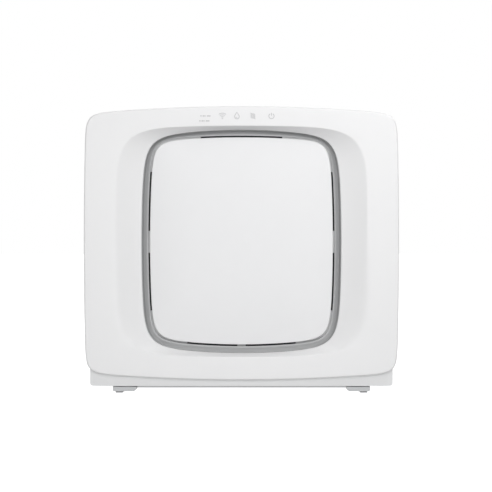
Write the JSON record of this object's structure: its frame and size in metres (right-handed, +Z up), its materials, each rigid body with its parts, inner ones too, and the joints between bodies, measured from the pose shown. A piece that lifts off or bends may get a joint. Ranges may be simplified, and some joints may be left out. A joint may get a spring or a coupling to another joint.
{
  "type": "air purifier",
  "caption": "Wide console air purifier with a bowed white fascia, a concave silver ring, a tilting inlet cover, a top outlet grille and low feet.",
  "frame": {"origin": "centre of the bounding box at the level of the feet", "axes": "+X to the right seen from the front, +Y from the front to the back, +Z up"},
  "size_m": [0.42, 0.21, 0.3832],
  "materials": {
    "fascia_white": "satin gloss",
    "cover_white": "gloss",
    "ring_silver": "satin",
    "frame_pale": "matte",
    "housing_white": "fine textured",
    "grille_pale": "matte",
    "base_grey": "matte",
    "foot_pale": "matte",
    "pad_rubber": "matte",
    "seal_foam": "foam",
    "inlet_black": "satin",
    "steel": "brushed",
    "label_silver": "satin",
    "chassis_dark": "matte",
    "chassis_pale": "matte",
    "filter_frame": "matte",
    "prefilter_grey": "matte",
    "mesh_dark": "woven mesh",
    "carbon": "granular",
    "filter_paper": "matte",
    "tab_fabric": "woven",
    "fan_grey": "matte",
    "motor_steel": "satin",
    "copper": "enamelled wire",
    "circuit_board": "satin",
    "diffuser": "translucent",
    "lead_black": "satin"
  },
  "bodies": {
    "body": {"front_fascia": "fascia_white", "trim_ring": "ring_silver", "inlet_frame": "frame_pale", "catch_plates": "steel", "rear_housing": "housing_white", "outlet_grille": "grille_pale", "base_plate": "base_grey", "foot_front_left": "foot_pale", "foot_front_right": "foot_pale", "foot_rear_left": "foot_pale", "foot_rear_right": "foot_pale", "foot_pads": "pad_rubber", "hand_grip_left": "housing_white", "hand_grip_right": "housing_white", "sensor_grille": "grille_pale", "power_inlet": "inlet_black", "inlet_pins": "steel", "rating_plate": "label_silver", "housing_screws": "steel", "base_screws": "steel", "filter_chassis": "chassis_dark", "prefilter_frame": "prefilter_grey", "prefilter_mesh": "mesh_dark", "carbon_frame": "filter_frame", "carbon_core": "carbon", "hepa_frame": "filter_frame", "hepa_pleats": "filter_paper", "hepa_gasket": "seal_foam", "filter_pull_tabs": "tab_fabric", "inlet_bell": "chassis_pale", "fan_guard": "fan_grey", "motor_can": "motor_steel", "motor_stator": "copper", "motor_bearings": "steel", "motor_bracket": "steel", "motor_grommets": "pad_rubber", "motor_screws": "steel", "scroll_housing": "chassis_pale", "outlet_duct": "chassis_pale", "ioniser": "inlet_black", "touch_board": "circuit_board", "light_guide": "diffuser", "touch_lead": "lead_black", "main_board": "circuit_board", "power_supply": "circuit_board", "wifi_module": "circuit_board", "particle_sensor": "inlet_black", "cover_switch": "inlet_black", "mains_lead": "lead_black", "motor_lead": "lead_black"},
    "cover": {"inlet_cover": "cover_white", "cover_frame": "frame_pale", "cover_hinge_pins": "steel", "cover_magnets": "steel", "cover_seal": "seal_foam"},
    "fan": {"impeller": "fan_grey", "motor_shaft": "steel", "hub_nut": "steel", "motor_rotor": "motor_steel"}
  },
  "joints": [
    {"name": "cover_tilt", "type": "hinge", "parent": "body", "child": "cover", "pos_m": [0, -0.0865, 0.0738], "axis": [1, 0, 0], "range_deg": [0, 25]},
    {"name": "fan_spin", "type": "hinge", "parent": "body", "child": "fan", "pos_m": [0, 0.02, 0.19], "axis": [0, 1, 0], "continuous": true}
  ]
}
